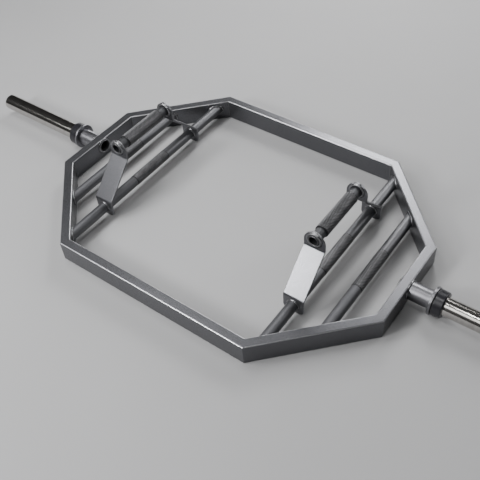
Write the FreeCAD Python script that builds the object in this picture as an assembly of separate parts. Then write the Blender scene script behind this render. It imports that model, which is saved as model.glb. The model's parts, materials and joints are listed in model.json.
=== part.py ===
import FreeCAD, Part

import math
import os

# A hex trap bar: an eight-sided lifting frame that stands on the floor, with low and raised grips on
# each side and a turning plate sleeve at each end. Lengths are millimetres. X runs along the sleeves,
# Y across the frame and Z up. The origin is on the floor, under the middle of the frame.

# Frame of eight rectangular tubes, mitred and welded
frame_length = 1100.0
frame_width = 788.0
long_rail_length = 620.0
end_rail_length = 286.0
rail_height = 65.0
rail_width = 28.0
rail_wall = 3.0
rail_corner_r = 4.0
rail_inner_corner_share = 0.4

# Two round crossbars on each side, with a knurled low grip on each
outer_crossbar_inset = 87.6
crossbar_pitch = 106.6
crossbar_top_drop = 12.3
crossbar_d = 31.0
crossbar_wall = 3.0
low_grip_length = 144.0
low_grip_wall = 0.7

# A raised handle on each side, above the inner crossbar
handle_rise = 153.0
handle_d = 30.0
handle_wall = 2.0
handle_end_proud = 5.0
handle_neck = 28.7
raised_grip_wall = 3.55

# Bent strip brackets that carry the raised handles
bracket_width = 60.5
bracket_thickness = 5.0
bracket_bend_r = 5.0
bracket_corner_r = 15.0
lower_tab_spacing = 404.0
lower_tab_drop = 26.2
lower_tab_rise = 26.3
upper_tab_spacing = 211.4
upper_tab_drop = 29.3
upper_tab_crown = 22.0

# Turning sleeve, collar and bushes at each end
sleeve_d = 50.0
sleeve_wall = 4.0
sleeve_load_length = 321.0
collar_d = 73.0
collar_length = 24.2
collar_taper = 1.0
collar_chamfer = 2.5
collar_seat_step = 0.5
bush_length = 40.0
bush_wall = 2.9
inner_bush_inset = 2.2

# Fixed spindle, stub, flange and axle at each end of the frame
spindle_land = 5.0
spindle_wall = 2.95
spindle_end_proud = 3.0
stub_length = 68.0
stub_wall = 4.45
flange_d = 77.0
flange_thickness = 8.0
flange_rim_r = 1.5
thrust_washer_d = 68.0
thrust_washer_thickness = 2.5
axle_seat_length = 58.0

# Retaining washer, bolt and cap at each sleeve's tip
retaining_washer_thickness = 4.0
bolt_d = 10.0
bolt_length = 30.0
bolt_head_height = 6.5
bolt_head_ledge = 3.0
cap_thickness = 4.0
cap_step = 0.3
cap_rim_r = 1.5
cap_spigot_wall = 4.0

# Clearances
seat_gap = 0.05
running_gap = 0.05
thrust_gap = 0.3
end_float = 0.5
washer_rim_gap = 0.5
washer_cap_gap = 4.0
bolt_cap_gap = 9.5
bolt_tip_gap = 2.0
overrun = 5.0

X_AXIS = FreeCAD.Vector(1, 0, 0)
Y_AXIS = FreeCAD.Vector(0, 1, 0)
Z_AXIS = FreeCAD.Vector(0, 0, 1)
ORIGIN = FreeCAD.Vector(0, 0, 0)
FULL_TURN = 360
HEX_SIDES = 6
SAME = 1e-6

# Radii and places that follow from the sizes above
crossbar_r = crossbar_d / 2
crossbar_z = rail_height - crossbar_top_drop - crossbar_r
outer_crossbar_x = frame_length / 2 - rail_width - outer_crossbar_inset
inner_crossbar_x = outer_crossbar_x - crossbar_pitch
handle_r = handle_d / 2
handle_z = crossbar_z + handle_rise
raised_grip_length = upper_tab_spacing - 2 * bracket_thickness - 2 * handle_neck
bracket_r = bracket_width / 2
bracket_top_z = handle_z + upper_tab_crown

sleeve_r = sleeve_d / 2
collar_seat_r = sleeve_r - collar_seat_step
sleeve_bore_r = sleeve_r - sleeve_wall
bush_r = sleeve_bore_r - seat_gap
bush_bore_r = bush_r - bush_wall
axle_r = bush_bore_r - running_gap
spindle_bore_r = axle_r + seat_gap
spindle_r = spindle_bore_r + spindle_wall
stub_bore_r = spindle_r + seat_gap
stub_r = stub_bore_r + stub_wall
bolt_hole_r = bolt_d / 2 + seat_gap
sleeve_z = rail_height - spindle_land - spindle_r

rail_face_x = frame_length / 2
stub_end_x = rail_face_x + stub_length
washer_end_x = stub_end_x + thrust_washer_thickness
sleeve_x = washer_end_x + thrust_gap
collar_end_x = sleeve_x + collar_length
sleeve_end_x = collar_end_x + sleeve_load_length
bolt_end_x = sleeve_end_x - bolt_cap_gap
bolt_head_x = bolt_end_x - bolt_head_height
axle_end_x = bolt_head_x - retaining_washer_thickness


def one_solid(shape):
    """The only solid that a shape holds."""
    solids = shape.Solids
    if len(solids) != 1:
        raise ValueError(f"expected one solid, found {len(solids)}")
    return solids[0]


def mirrored(shape, normal):
    """A copy of a solid on the other side of the origin."""
    return one_solid(shape.mirror(ORIGIN, normal))


def polygon_face(points):
    """A flat face with straight sides."""
    return Part.Face(Part.makePolygon(points + [points[0]]))


def edges_along(shape, direction):
    """Straight edges of a shape that run along a direction."""
    found = []
    for edge in shape.Edges:
        if isinstance(edge.Curve, Part.Line):
            run = (edge.Vertexes[-1].Point - edge.Vertexes[0].Point).normalize()
            if abs(abs(run.dot(direction)) - 1) < SAME:
                found.append(edge)
    return found


def tube_along_y(x, z, length, outer_r, bore_r):
    """A tube across the frame, centred on the frame's middle."""
    tube = Part.makeCylinder(outer_r, length, FreeCAD.Vector(x, -length / 2, z), Y_AXIS)
    bore_start = FreeCAD.Vector(x, -length / 2 - overrun, z)
    return one_solid(tube.cut(Part.makeCylinder(bore_r, length + 2 * overrun, bore_start, Y_AXIS)))


def turned(profile):
    """A piece turned about the right sleeve's axis, from a profile of stations and radii."""
    half_section = polygon_face([FreeCAD.Vector(x, 0, sleeve_z + r) for x, r in profile])
    return one_solid(half_section.revolve(FreeCAD.Vector(0, 0, sleeve_z), X_AXIS, FULL_TURN))


def turned_ring(start_x, end_x, outer_r, bore_r):
    """A plain ring about the right sleeve's axis."""
    return turned([(start_x, bore_r), (end_x, bore_r), (end_x, outer_r), (start_x, outer_r)])


def rounded_rim(shape, station_x, rim_r, fillet_r):
    """A turned piece with the sharp edge at one station and radius rounded."""
    sharp = []
    for edge in shape.Edges:
        if isinstance(edge.Curve, Part.Circle):
            same_station = abs(edge.Curve.Center.x - station_x) < SAME
            if same_station and abs(edge.Curve.Radius - rim_r) < SAME:
                sharp.append(edge)
    return one_solid(shape.makeFillet(fillet_r, sharp))


# Frame


def outer_corners():
    """Outer corners of the frame's plan, counter-clockwise from the front rail's left end."""
    long_x = long_rail_length / 2
    long_y = frame_width / 2
    end_x = frame_length / 2
    end_y = end_rail_length / 2
    plan = [
        (-long_x, -long_y), (long_x, -long_y), (end_x, -end_y), (end_x, end_y),
        (long_x, long_y), (-long_x, long_y), (-end_x, end_y), (-end_x, -end_y),
    ]
    return [FreeCAD.Vector(x, y, 0) for x, y in plan]


def inner_corners(corners):
    """Corners of the frame's opening, one rail width inside the outer corners."""
    inner = []
    for i, corner in enumerate(corners):
        arriving = Z_AXIS.cross((corner - corners[i - 1]).normalize())
        leaving = Z_AXIS.cross((corners[(i + 1) % len(corners)] - corner).normalize())
        inner.append(corner + (arriving + leaving) * (rail_width / (1 + arriving.dot(leaving))))
    return inner


def upright_prism(points):
    """A prism on a plan outline that runs past the rails' height at both ends."""
    base = polygon_face([point - Z_AXIS * overrun for point in points])
    return base.extrude(Z_AXIS * (rail_height + 2 * overrun))


def rounded_bar(length, width, height, corner_r):
    """A bar along X with its four long edges rounded."""
    bar = Part.makeBox(length, width, height)
    return bar.makeFillet(corner_r, edges_along(bar, X_AXIS))


def rail(start, end, inner_start, inner_end):
    """One rectangular tube of the frame, mitred where it meets its neighbours."""
    run = end - start
    length = run.Length + 2 * overrun
    tube = rounded_bar(length, rail_width, rail_height, rail_corner_r)
    inner_width = rail_width - 2 * rail_wall
    inner_height = rail_height - 2 * rail_wall
    inner_corner_r = rail_corner_r * rail_inner_corner_share
    hollow = rounded_bar(length + 2 * overrun, inner_width, inner_height, inner_corner_r)
    hollow.translate(FreeCAD.Vector(-overrun, rail_wall, rail_wall))
    tube = tube.cut(hollow)
    tube.translate(FreeCAD.Vector(-overrun, 0, 0))
    tube.rotate(ORIGIN, Z_AXIS, math.degrees(math.atan2(run.y, run.x)))
    tube.translate(start)
    start_mitre = inner_start - start
    end_mitre = inner_end - end
    wedge = [start - start_mitre, end - end_mitre, inner_end + end_mitre, inner_start + start_mitre]
    return one_solid(tube.common(upright_prism(wedge)))


def frame_rails():
    """The frame's eight rails, with a hole through each end rail for its spindle."""
    names = [
        "front_rail", "front_right_rail", "right_end_rail", "rear_right_rail",
        "rear_rail", "rear_left_rail", "left_end_rail", "front_left_rail",
    ]
    corners = outer_corners()
    inner = inner_corners(corners)
    rails = {}
    for i, name in enumerate(names):
        j = (i + 1) % len(names)
        rails[name] = rail(corners[i], corners[j], inner[i], inner[j])
    hole_start = FreeCAD.Vector(-rail_face_x - overrun, 0, sleeve_z)
    hole = Part.makeCylinder(spindle_r + seat_gap, frame_length + 2 * overrun, hole_start, X_AXIS)
    for name in ("left_end_rail", "right_end_rail"):
        rails[name] = one_solid(rails[name].cut(hole))
    return rails


# Crossbars, handles and grips


def crossbar(x):
    """A round tube across the frame, trimmed to the inner faces of the rails that it is welded to."""
    tube = tube_along_y(x, crossbar_z, frame_width, crossbar_r, crossbar_r - crossbar_wall)
    return one_solid(tube.common(upright_prism(inner_corners(outer_corners()))))


def grip(x, z, length, core_r, wall):
    """A grip sleeve on a tube."""
    bore_r = core_r + seat_gap
    return tube_along_y(x, z, length, bore_r + wall, bore_r)


def raised_handle():
    """The open tube that carries the right raised grip, held in the brackets' upper tabs."""
    length = upper_tab_spacing + 2 * handle_end_proud
    return tube_along_y(inner_crossbar_x, handle_z, length, handle_r, handle_r - handle_wall)


# Brackets


def bracket_strip():
    """The right front bracket as a plain bent strip, wider and longer than the bracket."""
    low_y = -lower_tab_spacing / 2
    high_y = -upper_tab_spacing / 2
    low_fold_z = crossbar_z + lower_tab_rise
    high_fold_z = handle_z - upper_tab_drop
    bottom_z = crossbar_z - lower_tab_drop - overrun
    top_z = bracket_top_z + overrun
    lean = math.atan2(high_y - low_y, high_fold_z - low_fold_z)
    back_drop = bracket_thickness * math.tan(lean / 2)
    front_low, front_high = (low_y, low_fold_z), (high_y, high_fold_z)
    back_low = (low_y + bracket_thickness, low_fold_z - back_drop)
    back_high = (high_y + bracket_thickness, high_fold_z - back_drop)
    side_view = [
        (low_y, bottom_z), front_low, front_high, (high_y, top_z),
        (high_y + bracket_thickness, top_z), back_high, back_low, (low_y + bracket_thickness, bottom_z),
    ]
    start_x = inner_crossbar_x - bracket_r - overrun
    face = polygon_face([FreeCAD.Vector(start_x, y, z) for y, z in side_view])
    strip = face.extrude(X_AXIS * (bracket_width + 2 * overrun))
    outer_bend_r = bracket_bend_r + bracket_thickness
    bends = {
        front_low: outer_bend_r,
        back_low: bracket_bend_r,
        front_high: bracket_bend_r,
        back_high: outer_bend_r,
    }
    for fold, radius in bends.items():
        creases = [
            edge for edge in edges_along(strip, X_AXIS)
            if math.dist(edge.CenterOfMass[1:], fold) < SAME
        ]
        strip = strip.makeFillet(radius, creases)
    return strip


def bracket_front_view():
    """A bracket's front view as a prism: rounded lower corners and a full round top."""
    left = inner_crossbar_x - bracket_r
    right = inner_crossbar_x + bracket_r
    bottom = crossbar_z - lower_tab_drop
    round_z = bracket_top_z - bracket_r
    start_y = -lower_tab_spacing / 2 - overrun
    corner = bracket_corner_r
    corner_mid = corner * (1 - math.cos(math.pi / 4))

    def at(x, z):
        return FreeCAD.Vector(x, start_y, z)

    right_corner_mid = at(right - corner_mid, bottom + corner_mid)
    left_corner_mid = at(left + corner_mid, bottom + corner_mid)
    top = at(inner_crossbar_x, bracket_top_z)
    outline = [
        Part.LineSegment(at(left + corner, bottom), at(right - corner, bottom)),
        Part.Arc(at(right - corner, bottom), right_corner_mid, at(right, bottom + corner)),
        Part.LineSegment(at(right, bottom + corner), at(right, round_z)),
        Part.Arc(at(right, round_z), top, at(left, round_z)),
        Part.LineSegment(at(left, round_z), at(left, bottom + corner)),
        Part.Arc(at(left, bottom + corner), left_corner_mid, at(left + corner, bottom)),
    ]
    face = Part.Face(Part.Wire([edge.toShape() for edge in outline]))
    return face.extrude(Y_AXIS * (lower_tab_spacing / 2 + overrun))


def front_bracket():
    """The right front bracket, bored for its crossbar below and its handle above."""
    bracket = bracket_strip().common(bracket_front_view())
    for z, tube_r in ((crossbar_z, crossbar_r), (handle_z, handle_r)):
        start = FreeCAD.Vector(inner_crossbar_x, -frame_width / 2, z)
        bracket = bracket.cut(Part.makeCylinder(tube_r + seat_gap, frame_width / 2, start, Y_AXIS))
    return one_solid(bracket)


# Fixed pieces of the right end


def spindle_tube():
    """The tube through the end rail, open inside the frame and flush with the flange outside."""
    start_x = rail_face_x - rail_width - spindle_end_proud
    return turned_ring(start_x, stub_end_x, spindle_r, spindle_bore_r)


def stub():
    """The boss round the spindle, from the end rail to the sleeve."""
    return turned_ring(rail_face_x, stub_end_x, stub_r, stub_bore_r)


def stop_flange():
    """The flange on the stub's end, with a rounded rim."""
    flange_r = flange_d / 2
    start_x = stub_end_x - flange_thickness
    flange = turned_ring(start_x, stub_end_x, flange_r, stub_r + seat_gap)
    for station in (start_x, stub_end_x):
        flange = rounded_rim(flange, station, flange_r, flange_rim_r)
    return flange


def thrust_washer():
    """The washer between the flange and the turning collar, smaller than both."""
    return turned_ring(stub_end_x, washer_end_x, thrust_washer_d / 2, axle_r + seat_gap)


def axle():
    """The round bar in the spindle that carries the sleeve, bored at its tip for the bolt."""
    start_x = stub_end_x - axle_seat_length
    hole_x = axle_end_x - bolt_length - bolt_tip_gap
    return turned([
        (start_x, 0), (hole_x, 0), (hole_x, bolt_hole_r), (axle_end_x, bolt_hole_r),
        (axle_end_x, axle_r), (start_x, axle_r),
    ])


def retaining_washer():
    """The washer on the axle's tip that keeps the sleeve on."""
    return turned_ring(axle_end_x, bolt_head_x, sleeve_bore_r - washer_rim_gap, bolt_hole_r)


def retaining_bolt():
    """The hexagon bolt that clamps the retaining washer to the axle."""
    corner_r = (bolt_d / 2 + bolt_head_ledge) / math.cos(math.pi / HEX_SIDES)
    corners = []
    for i in range(HEX_SIDES):
        angle = 2 * math.pi * i / HEX_SIDES
        corner = FreeCAD.Vector(0, corner_r * math.cos(angle), corner_r * math.sin(angle))
        corners.append(corner + FreeCAD.Vector(bolt_head_x, 0, sleeve_z))
    head = polygon_face(corners).extrude(X_AXIS * bolt_head_height)
    shank_x = axle_end_x - bolt_length
    shank_length = bolt_head_x + bolt_head_height / 2 - shank_x
    shank_start = FreeCAD.Vector(shank_x, 0, sleeve_z)
    return one_solid(head.fuse(Part.makeCylinder(bolt_d / 2, shank_length, shank_start, X_AXIS)))


# Turning pieces of the right end


def sleeve():
    """The plate sleeve, turned down where the collar seats on it."""
    return turned([
        (sleeve_x, sleeve_bore_r), (sleeve_end_x, sleeve_bore_r), (sleeve_end_x, sleeve_r),
        (collar_end_x, sleeve_r), (collar_end_x, collar_seat_r), (sleeve_x, collar_seat_r),
    ])


def collar():
    """The tapered collar that plates stop against, with a chamfered outer edge."""
    collar_r = collar_d / 2
    end_r = collar_r - collar_taper
    bore_r = collar_seat_r + seat_gap
    return turned([
        (sleeve_x, bore_r), (collar_end_x, bore_r), (collar_end_x, end_r - collar_chamfer),
        (collar_end_x - collar_chamfer, end_r), (sleeve_x, collar_r),
    ])


def bush(start_x):
    """A plain bearing bush pressed into the sleeve and running on the axle."""
    return turned_ring(start_x, start_x + bush_length, bush_r, bush_bore_r)


def end_cap():
    """The cap that closes the sleeve's tip, with a hollow spigot in the bore."""
    cap_r = sleeve_r - cap_step
    cap_end_x = sleeve_end_x + cap_thickness
    spigot_x = bolt_head_x + washer_cap_gap
    spigot_r = sleeve_bore_r - seat_gap
    spigot_bore_r = spigot_r - cap_spigot_wall
    cap = turned([
        (spigot_x, spigot_bore_r), (sleeve_end_x, spigot_bore_r), (sleeve_end_x, 0), (cap_end_x, 0),
        (cap_end_x, cap_r), (sleeve_end_x, cap_r), (sleeve_end_x, spigot_r), (spigot_x, spigot_r),
    ])
    return rounded_rim(cap, cap_end_x, cap_r, cap_rim_r)


def right_side():
    """Every piece of the right side but the rails, by its plain name."""
    bracket = front_bracket()
    return {
        "inner_crossbar": crossbar(inner_crossbar_x),
        "outer_crossbar": crossbar(outer_crossbar_x),
        "inner_low_grip": grip(inner_crossbar_x, crossbar_z, low_grip_length, crossbar_r, low_grip_wall),
        "outer_low_grip": grip(outer_crossbar_x, crossbar_z, low_grip_length, crossbar_r, low_grip_wall),
        "raised_handle": raised_handle(),
        "raised_grip": grip(inner_crossbar_x, handle_z, raised_grip_length, handle_r, raised_grip_wall),
        "front_bracket": bracket,
        "rear_bracket": mirrored(bracket, Y_AXIS),
        "spindle_tube": spindle_tube(),
        "stub": stub(),
        "stop_flange": stop_flange(),
        "thrust_washer": thrust_washer(),
        "axle": axle(),
        "retaining_washer": retaining_washer(),
        "retaining_bolt": retaining_bolt(),
        "sleeve": sleeve(),
        "collar": collar(),
        "inner_bush": bush(sleeve_x + inner_bush_inset),
        "outer_bush": bush(axle_end_x - end_float - bush_length),
        "end_cap": end_cap(),
    }


def main():
    """Build every piece, mirror the right side to the left and write each piece to its own file."""
    pieces = frame_rails()
    for name, piece in right_side().items():
        pieces[f"right_{name}"] = piece
        pieces[f"left_{name}"] = mirrored(piece, X_AXIS)
    os.makedirs("parts", exist_ok=True)
    for name, piece in pieces.items():
        piece.exportStep(f"parts/{name}.step")
        print(f"{name}: valid {piece.isValid()}, volume {piece.Volume:.0f}")


main()
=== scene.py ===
"""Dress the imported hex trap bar: coats, turned steel, knurled grips, weld beads, studio and camera."""

import json
import logging
import math
from collections.abc import Iterable, Mapping, Sequence
from dataclasses import dataclass, replace
from enum import Enum

import bmesh
import bpy
from mathutils import Matrix, Vector


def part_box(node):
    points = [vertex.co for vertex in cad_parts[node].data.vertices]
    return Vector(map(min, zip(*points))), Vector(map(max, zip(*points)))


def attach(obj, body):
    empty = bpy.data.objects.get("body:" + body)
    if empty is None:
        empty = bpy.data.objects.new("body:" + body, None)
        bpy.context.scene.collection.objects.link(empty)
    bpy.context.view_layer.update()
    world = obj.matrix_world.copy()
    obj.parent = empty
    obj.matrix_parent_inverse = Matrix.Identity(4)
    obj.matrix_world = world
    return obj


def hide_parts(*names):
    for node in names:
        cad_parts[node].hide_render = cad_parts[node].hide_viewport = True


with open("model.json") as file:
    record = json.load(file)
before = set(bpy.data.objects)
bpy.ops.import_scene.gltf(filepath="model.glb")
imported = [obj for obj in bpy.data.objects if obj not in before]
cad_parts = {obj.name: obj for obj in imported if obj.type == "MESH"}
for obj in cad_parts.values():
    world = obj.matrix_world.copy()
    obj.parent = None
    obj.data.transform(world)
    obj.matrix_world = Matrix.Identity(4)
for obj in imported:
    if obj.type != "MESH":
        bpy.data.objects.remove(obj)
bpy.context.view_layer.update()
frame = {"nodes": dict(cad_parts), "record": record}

LOG = logging.getLogger("trap_bar")
MM = 0.001
HALF = 0.5
FRAME_BODY = "frame"
ALONG_X = Vector((1.0, 0.0, 0.0))
ALONG_Y = Vector((0.0, 1.0, 0.0))

Triple = tuple[float, float, float]
Colour = Triple
Span = tuple[float, float]
Box = tuple[Vector, Vector]


class Side(Enum):
    """The two ends of the bar, with the sign of their X coordinates."""

    LEFT = -1
    RIGHT = 1

    def named(self, piece: str) -> str:
        """A node's name on this side."""
        return f"{self.name.lower()}_{piece}"


class End(Enum):
    """The two long sides of the frame, with the sign of their Y coordinates."""

    FRONT = -1
    REAR = 1


class Slot(Enum):
    """The record's material slots."""

    FRAME_COAT = "frame_coat"
    TUBE_COAT = "tube_coat"
    KNURLED_GRIP = "knurled_grip"
    STUB_STEEL = "stub_steel"
    BLACK_NYLON = "black_nylon"
    BRIGHT_STEEL = "bright_steel"
    SLEEVE_CHROME = "sleeve_chrome"
    COLLAR_BLACK = "collar_black"
    BUSH_BRONZE = "bush_bronze"


class EdgeStyle(Enum):
    """How a coat finds the edges that it lightens: sharp edges as rubbed wear and painted highlight, rail
    fillets as a painted highlight line.
    """

    SHARP = "sharp"
    FILLET = "fillet"


# Node trees


class Wire:
    """One output of a node tree, which takes part in arithmetic."""

    def __init__(self, graph: "Graph", socket: bpy.types.NodeSocket) -> None:
        """Keep the tree and the output."""
        self.graph = graph
        self.socket = socket

    def math(self, operation: str, *terms: "float | Wire") -> "Wire":
        """Add one Math node.

        Args:
            operation: The node's operation.
            terms: Its inputs in order.

        Returns:
            The node's output.
        """
        return self.graph.add("ShaderNodeMath", {"operation": operation}, dict(enumerate(terms)))[0]

    def __add__(self, other: "float | Wire") -> "Wire":
        """This plus another."""
        return self.math("ADD", self, other)

    def __radd__(self, other: float) -> "Wire":
        """A number plus this."""
        return self.math("ADD", other, self)

    def __sub__(self, other: "float | Wire") -> "Wire":
        """This less another."""
        return self.math("SUBTRACT", self, other)

    def __rsub__(self, other: float) -> "Wire":
        """A number less this."""
        return self.math("SUBTRACT", other, self)

    def __mul__(self, other: "float | Wire") -> "Wire":
        """This times another."""
        return self.math("MULTIPLY", self, other)

    def __rmul__(self, other: float) -> "Wire":
        """A number times this."""
        return self.math("MULTIPLY", other, self)

    def __truediv__(self, other: "float | Wire") -> "Wire":
        """This over another."""
        return self.math("DIVIDE", self, other)

    def __rtruediv__(self, other: float) -> "Wire":
        """A number over this."""
        return self.math("DIVIDE", other, self)

    def __mod__(self, other: "float | Wire") -> "Wire":
        """The remainder of this over another."""
        return self.math("FLOORED_MODULO", self, other)

    def __floordiv__(self, other: "float | Wire") -> "Wire":
        """How many whole times another goes into this."""
        return self.math("FLOOR", self / other)

    def cos(self) -> "Wire":
        """The cosine of this."""
        return self.math("COSINE", self)

    def sin(self) -> "Wire":
        """The sine of this."""
        return self.math("SINE", self)

    def swing(self, size: float) -> "Wire":
        """This, a value from 0 to 1, as a swing of a size about nothing."""
        return (self - HALF) * size

    def between(self, low: float, high: float) -> "Wire":
        """This as a share of the way from low to high, held from 0 to 1."""
        settings = {"interpolation_type": "SMOOTHSTEP"}
        return self.graph.add("ShaderNodeMapRange", settings, {0: self, 1: low, 2: high})[0]


class Placed:
    """A node that has been added, whose outputs are read by name or number."""

    def __init__(self, graph: "Graph", node: bpy.types.Node) -> None:
        """Keep the tree and the node."""
        self.graph = graph
        self.node = node

    def __getitem__(self, key: str | int) -> Wire:
        """One of the node's outputs."""
        return Wire(self.graph, self.node.outputs[key])


class Graph:
    """A node tree under construction."""

    def __init__(self, tree: bpy.types.NodeTree) -> None:
        """Start from an empty tree."""
        self.tree = tree
        self.tree.nodes.clear()

    def add(
        self,
        kind: str,
        settings: Mapping[str, object] | None = None,
        sockets: Mapping[str | int, object] | None = None,
    ) -> Placed:
        """Add one node.

        Args:
            kind: The node's type.
            settings: Its properties, set first.
            sockets: Its inputs by name or number, as values or wires.

        Returns:
            The placed node.
        """
        node = self.tree.nodes.new(kind)
        for name, value in (settings or {}).items():
            setattr(node, name, value)
        for key, value in (sockets or {}).items():
            if isinstance(value, Wire):
                self.tree.links.new(value.socket, node.inputs[key])
            else:
                node.inputs[key].default_value = value
        return Placed(self, node)


class ShaderGraph(Graph):
    """One material's tree, with the few textures that the finishes share."""

    SOFT_DETAIL = 3.0
    BEVEL_SAMPLES = 6
    SHARP_TURN = (0.02, 0.25)
    FILLET_TILT = (0.35, 0.65)
    LEVEL_TILT = (0.85, 0.98)

    def __init__(self, name: str) -> None:
        """Make the material and its object coordinates."""
        self.material = bpy.data.materials.new(name)
        self.material.use_nodes = True
        super().__init__(self.material.node_tree)
        self.coords = self.add("ShaderNodeTexCoord")["Object"]

    def scaled(self, scale: Triple) -> Wire:
        """The object coordinates with a scale of their own along each axis."""
        return self.add("ShaderNodeMapping", None, {"Vector": self.coords, "Scale": scale})["Vector"]

    def noise(self, scale: float, detail: float = 2.0, stretch: Triple | None = None) -> Wire:
        """A noise texture.

        Args:
            scale: Features in a metre.
            detail: Octaves.
            stretch: A scale along each axis, where the noise isn't even.

        Returns:
            The noise from 0 to 1.
        """
        place = self.coords if stretch is None else self.scaled(stretch)
        sockets = {"Vector": place, "Scale": scale, "Detail": detail}
        return self.add("ShaderNodeTexNoise", None, sockets)[0]

    def flecks(self, scale: float, share: float) -> Wire:
        """Small cells picked at random.

        Args:
            scale: Cells in a metre.
            share: The share of cells that are picked.

        Returns:
            1 in a picked cell and 0 elsewhere.
        """
        cells = self.add("ShaderNodeTexVoronoi", None, {"Vector": self.coords, "Scale": scale})
        red = self.add("ShaderNodeSeparateColor", None, {"Color": cells["Color"]})["Red"]
        return red.math("LESS_THAN", red, share)

    def mix(self, share: float | Wire, first: Colour | Wire, second: Colour | Wire) -> Wire:
        """A colour part of the way from the first to the second."""
        ends = [c if isinstance(c, Wire) else (*c, 1.0) for c in (first, second)]
        settings = {"data_type": "RGBA", "clamp_factor": True}
        return self.add("ShaderNodeMix", settings, {0: share, 6: ends[0], 7: ends[1]})[2]

    def rounded_normal(self, radius: float) -> Wire:
        """The surface normal, turned smoothly over sharp edges."""
        return self.add("ShaderNodeBevel", {"samples": self.BEVEL_SAMPLES}, {"Radius": radius})["Normal"]

    def edge(self, rounded: Wire) -> Wire:
        """1 at a sharp edge and 0 on a flat face, from the rounded normal."""
        plain = self.add("ShaderNodeNewGeometry")["Normal"]
        settings = {"operation": "DOT_PRODUCT"}
        facing = self.add("ShaderNodeVectorMath", settings, {0: rounded, 1: plain})["Value"]
        return (1.0 - facing).between(*self.SHARP_TURN)

    def fillet(self) -> Wire:
        """1 on a band of the rounded long edges of level rails and 0 on their flat faces: the band where
        the rail coat paints a highlight line.
        """
        normal = self.add("ShaderNodeNewGeometry")["Normal"]
        rise = self.add("ShaderNodeSeparateXYZ", None, {0: normal})["Z"]
        tilt = rise.math("ABSOLUTE", rise)
        return tilt.between(*self.FILLET_TILT) * (1.0 - tilt.between(*self.LEVEL_TILT))

    def bump(self, height: Wire, depth: float, strength: float, normal: Wire | None = None) -> Wire:
        """A normal that follows a height.

        Args:
            height: The height from 0 to 1.
            depth: What a height of 1 stands for, in metres.
            strength: How much of it shows.
            normal: The normal to start from.

        Returns:
            The bumped normal.
        """
        sockets = {"Height": height, "Distance": depth, "Strength": strength}
        if normal is not None:
            sockets["Normal"] = normal
        return self.add("ShaderNodeBump", None, sockets)["Normal"]

    def surface(self, **sockets: object) -> bpy.types.Material:
        """Finish the material with one Principled shader.

        Args:
            sockets: The shader's inputs, with underscores for spaces in their names.

        Returns:
            The material.
        """
        named = {key.replace("_", " "): value for key, value in sockets.items()}
        shader = self.add("ShaderNodeBsdfPrincipled", None, named)
        self.add("ShaderNodeOutputMaterial", None, {"Surface": shader["BSDF"]})
        return self.material


class GeometryGraph(Graph):
    """A Geometry Nodes tree with named inputs."""

    def __init__(self, name: str, inputs: Mapping[str, str]) -> None:
        """Make the tree.

        Args:
            name: The tree's name.
            inputs: Its inputs after the geometry, as names and socket types.
        """
        super().__init__(bpy.data.node_groups.new(name, "GeometryNodeTree"))
        face = self.tree.interface
        face.new_socket("Geometry", in_out="INPUT", socket_type="NodeSocketGeometry")
        face.new_socket("Geometry", in_out="OUTPUT", socket_type="NodeSocketGeometry")
        self.keys = {}
        for key, socket_type in inputs.items():
            self.keys[key] = face.new_socket(key, in_out="INPUT", socket_type=socket_type).identifier
        self.given = self.add("NodeGroupInput")

    def vector(self, x: float | Wire, y: float | Wire, z: float | Wire) -> Wire:
        """A vector from its three numbers."""
        return self.add("ShaderNodeCombineXYZ", None, {0: x, 1: y, 2: z})[0]

    def shaded(self, instances: Wire, smooth: bool) -> Wire:
        """Instances made real, with smooth or flat faces."""
        real = self.add("GeometryNodeRealizeInstances", None, {"Geometry": instances})[0]
        sockets = {"Geometry": real, "Shade Smooth": smooth}
        return self.add("GeometryNodeSetShadeSmooth", None, sockets)[0]

    def finish(self, geometry: Wire) -> None:
        """End the tree in realised geometry with the given material."""
        whole = self.add("GeometryNodeRealizeInstances", None, {"Geometry": geometry})["Geometry"]
        sockets = {"Geometry": whole, "Material": self.given["Material"]}
        painted = self.add("GeometryNodeSetMaterial", None, sockets)["Geometry"]
        self.add("NodeGroupOutput", None, {0: painted})

    def grow(self, obj: bpy.types.Object, values: Mapping[str, object]) -> None:
        """Run the tree on an object and keep the result as its plain mesh.

        Args:
            obj: The object, whose mesh is the tree's geometry.
            values: The tree's inputs by name.
        """
        modifier = obj.modifiers.new(self.tree.name, "NODES")
        modifier.node_group = self.tree
        for key, value in values.items():
            modifier[self.keys[key]] = value
        depsgraph = bpy.context.evaluated_depsgraph_get()
        made = bpy.data.meshes.new_from_object(obj.evaluated_get(depsgraph), depsgraph=depsgraph)
        made.name = obj.name
        obj.modifiers.remove(modifier)
        obj.data = made


# Finishes


def toned(colour: Colour, gain: float) -> Colour:
    """A colour made lighter or darker, short of white."""
    return tuple(min(1.0, gain * c) for c in colour)


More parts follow.
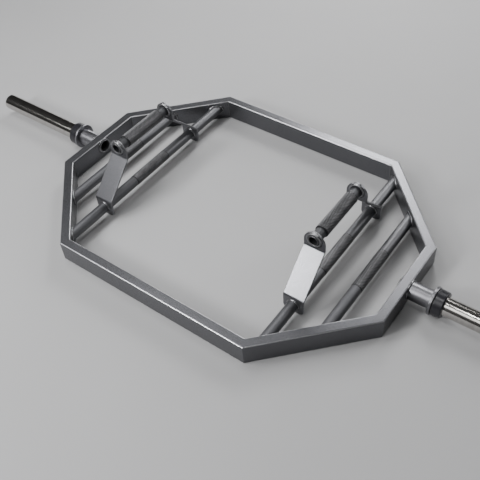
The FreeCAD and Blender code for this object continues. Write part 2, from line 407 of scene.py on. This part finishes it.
@dataclass(frozen=True)
class PowderCoat:
    """A baked satin coat with a fine metallic grain, its edges lightened: sharp edges partly as rubbed
    wear and partly as painted highlight, rail fillets as a painted highlight line.
    """

    name: str
    colour: Colour
    flake_colour: Colour
    metallic: float
    roughness: float
    # The lighter edge colour: rubbed wear and painted highlight on sharp edges, painted highlight on rail
    # fillets.
    rub_and_highlight_colour: Colour = (0.55, 0.55, 0.57)
    edge_style: EdgeStyle = EdgeStyle.SHARP
    edge_radius: float = 1.8 * MM
    edge_lightening: float = 0.6
    patch_least: float = 0.6
    patch_span: Span = (0.3, 0.55)
    cloud_per_metre: float = 6.0
    grain_per_metre: float = 2200.0
    peel_per_metre: float = 360.0
    flake_share: float = 0.12
    tone_swing: float = 0.22
    cloud_tone: float = 0.6
    peel_tone: float = 1.1
    flake_tint: float = 0.2
    flake_metal: float = 0.1
    cloud_rough: float = 0.06
    peel_rough: float = 0.1
    flake_shine: float = 0.04
    grain_share: float = 0.8
    grain_depth: float = 0.05 * MM
    grain_strength: float = 0.4

    def edges(self, shade: ShaderGraph, grain: Wire) -> tuple[Wire, Wire | None]:
        """Find where the coat's edges are lightened, as rubbed wear and painted highlight.

        Args:
            shade: The coat's tree.
            grain: The coat's grain, which makes the lighter sharp edges patchy.

        Returns:
            How much of an edge each place is, and the normal turned over the edges, if the style has one.
        """
        if self.edge_style is EdgeStyle.FILLET:
            return shade.fillet(), None
        rounded = shade.rounded_normal(self.edge_radius)
        patches = self.patch_least + grain.between(*self.patch_span) * (1.0 - self.patch_least)
        return shade.edge(rounded) * patches, rounded

    def material(self) -> bpy.types.Material:
        """Build the coat."""
        shade = ShaderGraph(self.name)
        cloud = shade.noise(self.cloud_per_metre, shade.SOFT_DETAIL)
        grain = shade.noise(self.grain_per_metre)
        peel = shade.noise(self.peel_per_metre)
        flake = shade.flecks(self.grain_per_metre, self.flake_share)
        edge, rounded = self.edges(shade, grain)
        tone = HALF + cloud.swing(self.cloud_tone) + peel.swing(self.peel_tone)
        dark = toned(self.colour, 1.0 - self.tone_swing)
        light = toned(self.colour, 1.0 + self.tone_swing)
        colour = shade.mix(tone, dark, light)
        colour = shade.mix(flake * self.flake_tint, colour, self.flake_colour)
        # Lighten the edges: painted highlight, and rubbed wear too on sharp edges.
        colour = shade.mix(edge * self.edge_lightening, colour, self.rub_and_highlight_colour)
        rough = self.roughness + cloud.swing(self.cloud_rough) + peel.swing(self.peel_rough)
        height = grain * self.grain_share + peel * (1.0 - self.grain_share)
        return shade.surface(
            Base_Color=colour,
            Metallic=self.metallic + flake * self.flake_metal,
            Roughness=rough - flake * self.flake_shine,
            Normal=shade.bump(height, self.grain_depth, self.grain_strength, rounded),
        )


@dataclass(frozen=True)
class TurnedMetal:
    """Metal turned on a lathe about the sleeves' axis, with fine rings and faint handling marks."""

    name: str
    colour: Colour
    roughness: float
    ring_stretch: Triple = (1400.0, 5.0, 5.0)
    ring_depth: float = 0.02 * MM
    ring_strength: float = 0.35
    ring_sheen: float = 0.14
    band_stretch: Triple = (90.0, 3.0, 3.0)
    band_span: Span = (0.3, 0.7)
    band_tone: float = 0.82
    scuffs: float = 0.12
    drag_stretch: Triple = (9.0, 900.0, 900.0)
    drag_span: Span = (0.58, 0.7)
    smudge_per_metre: float = 14.0
    smudge_span: Span = (0.45, 0.75)
    smudge_share: float = 0.6
    edge_radius: float = 0.8 * MM
    edge_lightening: float = 0.5
    edge_tone: float = 1.25

    def material(self) -> bpy.types.Material:
        """Build the metal."""
        shade = ShaderGraph(self.name)
        rings = shade.noise(1.0, stretch=self.ring_stretch)
        bands = shade.noise(1.0, stretch=self.band_stretch).between(*self.band_span)
        drag = shade.noise(1.0, shade.SOFT_DETAIL, self.drag_stretch).between(*self.drag_span)
        smudge = shade.noise(self.smudge_per_metre, shade.SOFT_DETAIL).between(*self.smudge_span)
        rounded = shade.rounded_normal(self.edge_radius)
        colour = shade.mix(bands, self.colour, toned(self.colour, self.band_tone))
        worn = toned(self.colour, self.edge_tone)
        colour = shade.mix(shade.edge(rounded) * self.edge_lightening, colour, worn)
        rough = self.roughness + rings.swing(self.ring_sheen)
        rough = rough + drag * self.scuffs + smudge * (self.scuffs * self.smudge_share)
        normal = shade.bump(rings, self.ring_depth, self.ring_strength, rounded)
        return shade.surface(Base_Color=colour, Metallic=1.0, Roughness=rough, Normal=normal)


@dataclass(frozen=True)
class KnurlCoat:
    """The coat on the knurling, dark in the grooves and rubbed on the crests."""

    name: str
    groove_colour: Colour
    crest_colour: Colour
    metallic: float
    roughness: float
    crest_span: Span = (0.35, 1.0)
    hand_per_metre: float = 30.0
    hand_span: Span = (0.3, 0.7)
    hand_least: float = 0.55
    rub_shine: float = 0.08
    grain_per_metre: float = 1600.0
    grain_rough: float = 0.15
    grain_depth: float = 0.03 * MM
    grain_strength: float = 0.4

    def material(self) -> bpy.types.Material:
        """Build the coat from the crest height that the knurling carries."""
        shade = ShaderGraph(self.name)
        crest = shade.add("ShaderNodeAttribute", {"attribute_name": KnurledGrip.CREST})["Fac"]
        hand = shade.noise(self.hand_per_metre, shade.SOFT_DETAIL).between(*self.hand_span)
        grain = shade.noise(self.grain_per_metre)
        handled = self.hand_least + hand * (1.0 - self.hand_least)
        rubbed = crest.between(*self.crest_span) * handled
        colour = shade.mix(rubbed, self.groove_colour, self.crest_colour)
        rough = self.roughness + grain.swing(self.grain_rough) - rubbed * self.rub_shine
        normal = shade.bump(grain, self.grain_depth, self.grain_strength)
        return shade.surface(Base_Color=colour, Metallic=self.metallic, Roughness=rough, Normal=normal)


FLAKE = (0.26, 0.265, 0.28)
FINISHES = {
    Slot.FRAME_COAT: PowderCoat(
        "frame_coat", (0.100, 0.101, 0.109), FLAKE, metallic=0.75, roughness=0.30,
    ),
    Slot.TUBE_COAT: PowderCoat(
        "tube_coat", (0.104, 0.105, 0.112), FLAKE, metallic=0.75, roughness=0.46,
    ),
    Slot.KNURLED_GRIP: KnurlCoat(
        "knurled_grip", (0.02, 0.02, 0.022), (0.27, 0.27, 0.282), metallic=0.5, roughness=0.40,
    ),
    Slot.STUB_STEEL: TurnedMetal(
        "stub_steel", (0.23, 0.23, 0.245), roughness=0.33,
        ring_depth=0.004 * MM, ring_sheen=0.05, scuffs=0.05,
    ),
    Slot.BLACK_NYLON: PowderCoat(
        "black_nylon", (0.010, 0.010, 0.011), (0.03, 0.03, 0.03), metallic=0.0, roughness=0.55,
        rub_and_highlight_colour=(0.04, 0.04, 0.04),
    ),
    Slot.BRIGHT_STEEL: TurnedMetal("bright_steel", (0.34, 0.34, 0.35), roughness=0.35),
    Slot.SLEEVE_CHROME: TurnedMetal(
        "sleeve_chrome", (0.54, 0.525, 0.50), roughness=0.17,
        ring_depth=0.002 * MM, ring_sheen=0.03, scuffs=0.02,
    ),
    Slot.COLLAR_BLACK: PowderCoat(
        "collar_black", (0.012, 0.012, 0.015), (0.05, 0.05, 0.06), metallic=0.1, roughness=0.30,
        rub_and_highlight_colour=(0.10, 0.10, 0.11),
    ),
    Slot.BUSH_BRONZE: TurnedMetal("bush_bronze", (0.50, 0.34, 0.16), roughness=0.32),
}
# The rails' coat paints a highlight line along the middle of their rounded long edges.
RAIL_COAT = replace(FINISHES[Slot.FRAME_COAT], name="rail_coat", edge_style=EdgeStyle.FILLET)
# A darker copy of the tube coat for the raised handles: painted shade on them.
SHADED_HANDLE_COAT = replace(FINISHES[Slot.TUBE_COAT], name="handle_coat", colour=(0.055, 0.056, 0.06))
COAT_BY_ENDING = {"_rail": RAIL_COAT, "_raised_handle": SHADED_HANDLE_COAT}
# A lighter, glossier copy of the frame coat for the weld beads: its lighter colour is a painted
# highlight.
LIGHTENED_WELD_COAT = PowderCoat("lightened_weld_coat", (0.15, 0.151, 0.157), FLAKE, metallic=0.8, roughness=0.25)


class Paints:
    """The materials in use, each built once."""

    def __init__(self) -> None:
        """Build the coats that belong to no slot."""
        self.made: dict[Slot, bpy.types.Material] = {}
        self.weld = LIGHTENED_WELD_COAT.material()
        self.by_ending = {ending: coat.material() for ending, coat in COAT_BY_ENDING.items()}

    def get(self, slot: Slot) -> bpy.types.Material:
        """The material of a slot."""
        if slot not in self.made:
            self.made[slot] = FINISHES[slot].material()
        return self.made[slot]

    def finish_of(self, node: str, slot: Slot) -> bpy.types.Material:
        """The coat kept for a node's kind of piece, or else its slot's material; the rails' coat paints a
        highlight line and the raised handles' darker coat paints shade.
        """
        for ending, coat in self.by_ending.items():
            if node.endswith(ending):
                return coat
        return self.get(slot)

    def dress_nodes(self) -> None:
        """Give every CAD node its finish."""
        for part in frame["record"]["subparts"]:
            finish = self.finish_of(part["node"], Slot(part["material_slot"]))
            mesh = frame["nodes"][part["node"]].data
            mesh.materials.clear()
            mesh.materials.append(finish)
            LOG.info("dressed %s in %s", part["node"], finish.name)


# Meshes


def new_piece(name: str, mesh: bpy.types.Mesh) -> bpy.types.Object:
    """A new object in the scene, at the origin."""
    obj = bpy.data.objects.new(name, mesh)
    bpy.context.scene.collection.objects.link(obj)
    return obj


def settle(obj: bpy.types.Object, nodes: Sequence[str] = ()) -> None:
    """Tie a finished piece to the frame's body.

    Args:
        obj: The piece.
        nodes: The CAD nodes that it stands for.
    """
    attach(obj, FRAME_BODY)
    if nodes:
        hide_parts(*nodes)
    LOG.info("built %s: %d faces", obj.name, len(obj.data.polygons))


def centre(box: Box) -> Vector:
    """The middle of a box."""
    return (box[0] + box[1]) / 2


def tube_radius(box: Box) -> float:
    """The radius of a round piece that lies along Y."""
    return (box[1].x - box[0].x) / 2


def turned_mesh(name: str, profile: Sequence[Span], segments: int) -> bpy.types.Mesh:
    """A closed ring turned about the Y axis.

    Args:
        name: The mesh's name.
        profile: Its section as places along Y and radii, in order round the section.
        segments: Steps round the axis.

    Returns:
        The mesh, with outward faces.
    """
    shape = bmesh.new()
    rings = []
    for i in range(segments):
        angle = math.tau * i / segments
        turn = (math.cos(angle), math.sin(angle))
        rings.append([shape.verts.new((r * turn[0], y, r * turn[1])) for y, r in profile])
    for i, ring in enumerate(rings):
        after = rings[(i + 1) % segments]
        for j in range(len(profile)):
            k = (j + 1) % len(profile)
            shape.faces.new((ring[j], ring[k], after[k], after[j]))
    bmesh.ops.recalc_face_normals(shape, faces=shape.faces)
    mesh = bpy.data.meshes.new(name)
    shape.to_mesh(mesh)
    shape.free()
    return mesh


# Knurled grips


@dataclass
class KnurledGrip:
    """A grip with a real diamond knurl between two plain end bands, in place of a plain CAD sleeve."""

    node: str
    depth: float
    diamond: float = 5.6 * MM
    band: float = 2.2 * MM
    band_drop_share: float = 0.25
    chamfer_share: float = 0.5
    crest_share: float = 0.3
    core_segments: int = 88

    CREST = "crest"
    DIAMOND_CORNERS = 4
    ROWS_PER_DIAMOND = 2

    @classmethod
    def tree(cls) -> GeometryGraph:
        """The knurling: flat-topped pyramids in staggered rows round a core."""
        graph = GeometryGraph("knurl", {
            "Radius": "NodeSocketFloat",
            "Length": "NodeSocketFloat",
            "Depth": "NodeSocketFloat",
            "Around": "NodeSocketInt",
            "Rows": "NodeSocketInt",
            "Crest": "NodeSocketFloat",
            "Centre": "NodeSocketVector",
            "Material": "NodeSocketMaterial",
        })
        given = graph.given
        radius, around, rows = given["Radius"], given["Around"], given["Rows"]
        index = graph.add("GeometryNodeInputIndex")[0]
        row = index // around
        stagger = (row % cls.ROWS_PER_DIAMOND) / cls.ROWS_PER_DIAMOND
        angle = (index % around + stagger) * math.tau / around
        pitch = given["Length"] / rows
        along = (row + HALF) * pitch - given["Length"] * HALF
        place = graph.vector(angle.cos() * radius, along, angle.sin() * radius)
        points = graph.add("GeometryNodePoints", None, {"Count": around * rows, "Position": place})
        diamond = graph.add("GeometryNodeMeshCone", {"fill_type": "NGON"}, {
            "Vertices": cls.DIAMOND_CORNERS,
            "Radius Top": given["Crest"],
            "Radius Bottom": 1.0,
            "Depth": 1.0,
        })
        open_base = graph.add(
            "GeometryNodeDeleteGeometry", {"domain": "FACE"},
            {"Geometry": diamond["Mesh"], "Selection": diamond["Bottom"]},
        )
        position = graph.add("GeometryNodeInputPosition")[0]
        height = graph.add("ShaderNodeSeparateXYZ", None, {0: position})["Z"]
        marked = graph.add(
            "GeometryNodeStoreNamedAttribute", {"data_type": "FLOAT", "domain": "POINT"},
            {"Geometry": open_base["Geometry"], "Name": cls.CREST, "Value": height},
        )
        outward = graph.vector(0.0, math.pi / 2 - angle, 0.0)
        upright = graph.add("FunctionNodeEulerToRotation", None, {0: outward})
        size = graph.vector(radius * math.pi / around, pitch, given["Depth"])
        diamonds = graph.add("GeometryNodeInstanceOnPoints", None, {
            "Points": points[0], "Instance": marked[0], "Rotation": upright[0], "Scale": size,
        })
        faceted = graph.shaded(diamonds[0], smooth=False)
        join = graph.add("GeometryNodeJoinGeometry")
        for part in (given["Geometry"], faceted):
            graph.tree.links.new(part.socket, join.node.inputs[0])
        sockets = {"Geometry": join[0], "Translation": given["Centre"]}
        graph.finish(graph.add("GeometryNodeTransform", None, sockets)[0])
        return graph

    def core(self, length: float, radius: float, bore: float) -> bpy.types.Mesh:
        """The turned core with its end bands.

        Args:
            length: The grip's whole length.
            radius: The radius over the crests.
            bore: The radius of the tube inside.

        Returns:
            The core about the Y axis.
        """
        end = length / 2
        inner = end - self.band
        band_r = radius - self.depth * self.band_drop_share
        root_r = radius - self.depth
        chamfer = self.depth * self.chamfer_share
        half = [
            (end, bore),
            (end, band_r - chamfer),
            (end - chamfer, band_r),
            (inner, band_r),
            (inner, root_r),
        ]
        return turned_mesh(self.node, half + [(-y, r) for y, r in reversed(half)], self.core_segments)

    def build(self, paints: Paints, tree: GeometryGraph, tube: str) -> None:
        """Build the grip where its node is.

        Args:
            paints: The materials.
            tree: The knurling.
            tube: The node of the tube inside the grip.
        """
        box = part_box(self.node)
        length = box[1].y - box[0].y
        radius = tube_radius(box)
        knurl_length = length - 2 * self.band
        obj = new_piece(self.node + "_knurled", self.core(length, radius, tube_radius(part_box(tube))))
        tree.grow(obj, {
            "Radius": radius - self.depth,
            "Length": knurl_length,
            "Depth": self.depth,
            "Around": round(math.tau * radius / self.diamond),
            "Rows": round(self.ROWS_PER_DIAMOND * knurl_length / self.diamond),
            "Crest": self.crest_share,
            "Centre": centre(box),
            "Material": paints.get(Slot.KNURLED_GRIP),
        })
        settle(obj, [self.node])


# Weld beads


@dataclass(frozen=True)
class Seam:
    """One run of weld: the points that it follows and whether it closes on itself."""

    points: tuple[Vector, ...]
    closed: bool = True


@dataclass
class WeldGroup:
    """Weld beads of one size, laid along seams as overlapping ripples."""

    name: str
    width: float
    pitch: float
    ripple_length: float = 2.6
    jitter: float = 0.05
    seed: int = 7

    BALL_SEGMENTS = 12
    BALL_RINGS = 8

    @classmethod
    def tree(cls) -> GeometryGraph:
        """The bead: flattened balls a little apart along each seam, no two quite alike."""
        graph = GeometryGraph("weld_bead", {
            "Pitch": "NodeSocketFloat",
            "Width": "NodeSocketFloat",
            "Ripple": "NodeSocketFloat",
            "Jitter": "NodeSocketFloat",
            "Seed": "NodeSocketInt",
            "Material": "NodeSocketMaterial",
        })
        given = graph.given
        path = graph.add("GeometryNodeMeshToCurve", None, {"Mesh": given["Geometry"]})
        sockets = {"Curve": path[0], "Length": given["Pitch"]}
        steps = graph.add("GeometryNodeResampleCurve", {"mode": "LENGTH"}, sockets)
        along = graph.add("GeometryNodeInputTangent")
        turn = graph.add("FunctionNodeAlignRotationToVector", {"axis": "X"}, {"Vector": along[0]})
        sockets = {"Segments": cls.BALL_SEGMENTS, "Rings": cls.BALL_RINGS, "Radius": HALF}
        ball = graph.add("GeometryNodeMeshUVSphere", None, sockets)
        jitter = given["Jitter"]
        vary = graph.add(
            "FunctionNodeRandomValue", {"data_type": "FLOAT"},
            {2: 1.0 - jitter, 3: 1.0 + jitter, "Seed": given["Seed"]},
        )
        across = given["Width"] * vary[1]
        size = graph.vector(given["Pitch"] * given["Ripple"], across, across)
        beads = graph.add("GeometryNodeInstanceOnPoints", None, {
            "Points": steps[0], "Instance": ball[0], "Rotation": turn[0], "Scale": size,
        })
        graph.finish(graph.shaded(beads[0], smooth=True))
        return graph

    def build(self, paints: Paints, tree: GeometryGraph, seams: Iterable[Seam]) -> None:
        """Lay the beads.

        Args:
            paints: The materials.
            tree: The bead.
            seams: Where the beads run.
        """
        points, edges = [], []
        for seam in seams:
            first = len(points)
            points += seam.points
            edges += [(i, i + 1) for i in range(first, len(points) - 1)]
            if seam.closed:
                edges.append((len(points) - 1, first))
        mesh = bpy.data.meshes.new(self.name)
        mesh.from_pydata(points, edges, [])
        obj = new_piece(self.name, mesh)
        tree.grow(obj, {
            "Pitch": self.pitch,
            "Width": self.width,
            "Ripple": self.ripple_length,
            "Jitter": self.jitter,
            "Seed": self.seed,
            # The weld coat is lighter than the frame coat: a painted highlight on the beads.
            "Material": paints.weld,
        })
        settle(obj)


def ring_points(middle: Vector, axis: Vector, radius: float, steps: int = 48) -> tuple[Vector, ...]:
    """Points on a circle.

    Args:
        middle: Its centre.
        axis: Its axis.
        radius: Its radius.
        steps: How many points.

    Returns:
        The points in order.
    """
    first = axis.orthogonal().normalized()
    second = axis.cross(first).normalized()
    angles = [math.tau * i / steps for i in range(steps)]
    return tuple(middle + radius * (math.cos(a) * first + math.sin(a) * second) for a in angles)


@dataclass(frozen=True)
class FramePlan:
    """The frame's plan, read from the boxes of its rails."""

    long_x: float
    long_y: float
    end_x: float
    end_y: float
    rail_width: float
    rail_height: float

    @classmethod
    def read(cls) -> "FramePlan":
        """Measure the front rail and the right end rail."""
        front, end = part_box("front_rail"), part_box("right_end_rail")
        return cls(
            long_x=front[1].x, long_y=-front[0].y, end_x=end[1].x, end_y=end[1].y,
            rail_width=front[1].y - front[0].y, rail_height=front[1].z,
        )

    def slant(self) -> Vector:
        """The direction of the angled rails in the first quarter, from the long rail to the end rail."""
        return Vector((self.end_x - self.long_x, self.end_y - self.long_y, 0.0)).normalized()

    def inner_corner(self, at_end: bool) -> Vector:
        """An inner corner in the first quarter.

        Args:
            at_end: Whether the corner is at the end rail, and not at the long rail.

        Returns:
            The corner on the floor.
        """
        run = self.slant()
        inward = Vector((run.y, -run.x, 0.0))
        if at_end:
            corner, beside = Vector((self.end_x, self.end_y, 0.0)), -ALONG_X
        else:
            corner, beside = Vector((self.long_x, self.long_y, 0.0)), -ALONG_Y
        return corner + (inward + beside) * (self.rail_width / (1.0 + inward.dot(beside)))

    def inner_y(self, x: float) -> float:
        """How far out the angled rails' inner faces are at a distance from the middle."""
        start, run = self.inner_corner(False), self.slant()
        return start.y + (abs(x) - start.x) * run.y / run.x


@dataclass
class LiftingFrame:
    """The welded ring: its corner seams and the welds of the crossbars in it."""

    plan: FramePlan
    corner_bead: float = 3.4 * MM
    corner_pitch: float = 1.6 * MM
    corner_foot: float = 2.0 * MM
    corner_head: float = 4.0 * MM
    tube_bead: float = 7.0 * MM
    tube_pitch: float = 2.4 * MM
    tube_gain: float = 0.6 * MM

    def corner_seams(self) -> list[Seam]:
        """The upright fillets inside the eight corners."""
        seams = []
        low, high = self.corner_foot, self.plan.rail_height - self.corner_head
        for side in Side:
            for end in End:
                for at_end in (False, True):
                    corner = self.plan.inner_corner(at_end)
                    x, y = corner.x * side.value, corner.y * end.value
                    seams.append(Seam((Vector((x, y, low)), Vector((x, y, high))), False))
        return seams

    def tube_seams(self) -> list[Seam]:
        """The oval seams where the crossbars meet the angled rails."""
        seams = []
        for side in Side:
            for place in ("inner", "outer"):
                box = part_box(side.named(f"{place}_crossbar"))
                middle = centre(box)
                hub = Vector((middle.x, 0.0, middle.z))
                ring = ring_points(hub, ALONG_Y, tube_radius(box) + self.tube_gain)
                reach = [self.plan.inner_y(p.x) - self.tube_gain for p in ring]
                for end in End:
                    oval = tuple(Vector((p.x, end.value * y, p.z)) for p, y in zip(ring, reach))
                    seams.append(Seam(oval))
        return seams

    def build(self, paints: Paints, bead: GeometryGraph) -> None:
        """Lay the frame's welds."""
        corners = WeldGroup("corner_welds", self.corner_bead, self.corner_pitch)
        corners.build(paints, bead, self.corner_seams())
        tubes = WeldGroup("crossbar_welds", self.tube_bead, self.tube_pitch)
        tubes.build(paints, bead, self.tube_seams())


@dataclass
class GripSide:
    """One side's knurled grips, and the welds of its raised handle and brackets."""

    side: Side
    low_knurl: float = 0.55 * MM
    raised_knurl: float = 1.2 * MM
    tab_thickness: float = 5.0 * MM
    low_bead: float = 6.5 * MM
    low_gain: float = 1.0 * MM
    high_bead: float = 8.6 * MM
    high_gain: float = 3.7 * MM
    bead_pitch: float = 2.2 * MM

    def tab_seams(self, tube: str, gain: float, upper: bool) -> list[Seam]:
        """Rings where a tube passes through the brackets' tabs.

        Args:
            tube: The tube's plain name.
            gain: How far the rings' middle is from the tube's wall.
            upper: Whether the tabs are the upper ones.

        Returns:
            A ring on each face of both tabs.
        """
        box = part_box(self.side.named(tube))
        middle = centre(box)
        radius = tube_radius(box) + gain
        seams = []
        for end in End:
            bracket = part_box(self.side.named(f"{end.name.lower()}_bracket"))
            near, far = sorted((abs(bracket[0].y), abs(bracket[1].y)))
            faces = (near, near + self.tab_thickness) if upper else (far - self.tab_thickness, far)
            for y in faces:
                place = Vector((middle.x, end.value * y, middle.z))
                seams.append(Seam(ring_points(place, ALONG_Y, radius)))
        return seams

    def build(self, paints: Paints, knurl: GeometryGraph, bead: GeometryGraph) -> None:
        """Build the knurled grips and lay the bracket welds."""
        for grip, tube, depth in (
            ("inner_low_grip", "inner_crossbar", self.low_knurl),
            ("outer_low_grip", "outer_crossbar", self.low_knurl),
            ("raised_grip", "raised_handle", self.raised_knurl),
        ):
            KnurledGrip(self.side.named(grip), depth).build(paints, knurl, self.side.named(tube))
        low = WeldGroup(self.side.named("low_tab_welds"), self.low_bead, self.bead_pitch)
        low.build(paints, bead, self.tab_seams("inner_crossbar", self.low_gain, False))
        high = WeldGroup(self.side.named("high_tab_welds"), self.high_bead, self.bead_pitch)
        high.build(paints, bead, self.tab_seams("raised_handle", self.high_gain, True))


@dataclass
class SleeveEnd:
    """One end of the bar: the welds that hold its spindle and stub in the end rail."""

    side: Side
    bead: float = 6.2 * MM
    bead_pitch: float = 2.2 * MM
    spindle_gain: float = 1.8 * MM

    def ring(self, x: float, node: str, gain: float = 0.0) -> Seam:
        """A seam round a turned piece.

        Args:
            x: The seam's distance from the bar's middle.
            node: The turned piece.
            gain: How far the seam's middle is from the piece's wall.

        Returns:
            The ring.
        """
        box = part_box(self.side.named(node))
        radius = (box[1].z - box[0].z) / 2 + gain
        middle = centre(box)
        place = Vector((self.side.value * x, middle.y, middle.z))
        return Seam(ring_points(place, ALONG_X, radius))

    def build(self, paints: Paints, bead: GeometryGraph, plan: FramePlan) -> None:
        """Lay the end's welds."""
        inner_x = plan.end_x - plan.rail_width
        seams = [self.ring(inner_x, "spindle_tube", self.spindle_gain), self.ring(plan.end_x, "stub")]
        WeldGroup(self.side.named("spindle_welds"), self.bead, self.bead_pitch).build(paints, bead, seams)


# Studio


@dataclass(frozen=True)
class Softbox:
    """A square area light that faces the middle of the bar."""

    name: str
    azimuth: float
    elevation: float
    power: float
    size: float = 1.3
    distance: float = 3.2
    target: Triple = (0.0, 0.0, 0.05)

    def build(self) -> None:
        """Add the light where its angles put it, counted from +X and from the floor."""
        data = bpy.data.lights.new(self.name, "AREA")
        data.shape = "SQUARE"
        data.size = self.size
        data.energy = self.power
        around, above = math.radians(self.azimuth), math.radians(self.elevation)
        flat = math.cos(above)
        away = Vector((math.cos(around) * flat, math.sin(around) * flat, math.sin(above)))
        obj = bpy.data.objects.new(self.name, data)
        obj.location = Vector(self.target) + away * self.distance
        obj.rotation_euler = away.to_track_quat("Z", "Y").to_euler()
        bpy.context.scene.collection.objects.link(obj)


@dataclass(frozen=True)
class PhotoCamera:
    """The camera that sees the bar as the photograph does."""

    place: Triple = (0.93272, -1.10618, 1.46334)
    azimuth: float = math.radians(40.02)
    elevation: float = math.radians(47.21)
    roll: float = math.radians(-5.32)
    lens: float = 52.98
    sensor: float = 36.0

    def build(self) -> None:
        """Add the camera and make it the scene's own."""
        flat, rise = math.cos(self.elevation), math.sin(self.elevation)
        level = Vector((math.cos(self.azimuth), math.sin(self.azimuth), 0.0))
        back = Vector((level.y * flat, -level.x * flat, rise))
        upright = back.cross(level)
        cos, sin = math.cos(self.roll), math.sin(self.roll)
        right = cos * level + sin * upright
        up = cos * upright - sin * level
        data = bpy.data.cameras.new("photo_camera")
        data.lens = self.lens
        data.sensor_width = self.sensor
        obj = bpy.data.objects.new("photo_camera", data)
        turn = Matrix((right, up, back)).transposed().to_4x4()
        obj.matrix_world = Matrix.Translation(self.place) @ turn
        bpy.context.scene.collection.objects.link(obj)
        bpy.context.scene.camera = obj


@dataclass(frozen=True)
class Studio:
    """A plain pale floor under soft light, which fades into an even backdrop far from the bar."""

    floor_half: float = 12.0
    floor_colour: Colour = (0.30, 0.30, 0.304)
    floor_tone: float = 1.03
    floor_rough: float = 0.75
    cloud_per_metre: float = 1.5
    cloud_span: Span = (0.3, 0.7)
    grain_per_metre: float = 240.0
    grain_rough: float = 0.1
    grain_depth: float = 0.2 * MM
    grain_strength: float = 0.2
    sky_grey: float = 0.5
    sky_strength: float = 0.05
    backdrop_grey: float = 0.5
    fade_span: Span = (1.7, 3.6)
    lights: tuple[Softbox, ...] = (
        Softbox("front_softbox", 249.0, 32.0, 78.0, 0.6),
        Softbox("front_left_softbox", 230.0, 36.0, 13.0, 0.6),
        Softbox("left_softbox", 212.0, 34.0, 5.0, 0.4),
        Softbox("front_edge_softbox", 224.0, 51.0, 42.0, 0.6),
        Softbox("front_right_softbox", 276.0, 50.0, 15.0),
        Softbox("left_top_softbox", 176.0, 67.0, 44.0),
        Softbox("edge_softbox", 315.0, 78.0, 12.0, 0.3),
        Softbox("back_left_low_softbox", 114.0, 12.0, 36.0),
        Softbox("back_left_strip_softbox", 135.0, 8.0, 8.0, 0.4),
        Softbox("back_softbox", 108.0, 37.0, 37.0, 0.7),
        Softbox("back_top_softbox", 99.0, 46.0, 22.0, 0.8),
        Softbox("back_right_softbox", 61.0, 27.0, 44.0),
    )

    def floor_material(self) -> bpy.types.Material:
        """A pale matt floor that glows as the backdrop does where the lights don't reach."""
        shade = ShaderGraph("pale_floor")
        cloud = shade.noise(self.cloud_per_metre, shade.SOFT_DETAIL).between(*self.cloud_span)
        grain = shade.noise(self.grain_per_metre)
        away = shade.add("ShaderNodeVectorMath", {"operation": "LENGTH"}, {0: shade.coords})["Value"]
        dark = (0.0, 0.0, 0.0)
        pale = (self.backdrop_grey, self.backdrop_grey, self.backdrop_grey)
        return shade.surface(
            Base_Color=shade.mix(cloud, self.floor_colour, toned(self.floor_colour, self.floor_tone)),
            Roughness=self.floor_rough + grain.swing(self.grain_rough),
            Normal=shade.bump(grain, self.grain_depth, self.grain_strength),
            Emission_Color=shade.mix(away.between(*self.fade_span), dark, pale),
            Emission_Strength=1.0,
        )

    def floor(self) -> None:
        """Add the floor."""
        half = self.floor_half
        corners = [(-half, -half, 0.0), (half, -half, 0.0), (half, half, 0.0), (-half, half, 0.0)]
        mesh = bpy.data.meshes.new("floor")
        mesh.from_pydata(corners, [], [range(len(corners))])
        mesh.materials.append(self.floor_material())
        new_piece("floor", mesh)

    def sky(self) -> None:
        """Fill the room with an even dim light, which the camera sees as a pale backdrop."""
        world = bpy.data.worlds.new("studio")
        world.use_nodes = True
        graph = Graph(world.node_tree)
        grey = (self.sky_grey, self.sky_grey, self.sky_grey, 1.0)
        seen = graph.add("ShaderNodeLightPath")["Is Camera Ray"]
        strength = self.sky_strength + seen * (self.backdrop_grey / self.sky_grey - self.sky_strength)
        glow = graph.add("ShaderNodeBackground", None, {"Color": grey, "Strength": strength})
        graph.add("ShaderNodeOutputWorld", None, {"Surface": glow[0]})
        bpy.context.scene.world = world

    def build(self) -> None:
        """Set up the studio."""
        self.floor()
        self.sky()
        for light in self.lights:
            light.build()
        PhotoCamera().build()


def main() -> None:
    """Dress the bar piece by piece and set up the studio."""
    logging.basicConfig(level=logging.INFO, format="%(message)s")
    paints = Paints()
    paints.dress_nodes()
    plan = FramePlan.read()
    knurl, bead = KnurledGrip.tree(), WeldGroup.tree()
    LiftingFrame(plan).build(paints, bead)
    for side in Side:
        GripSide(side).build(paints, knurl, bead)
        SleeveEnd(side).build(paints, bead, plan)
    Studio().build()


if __name__ == "__main__":
    main()
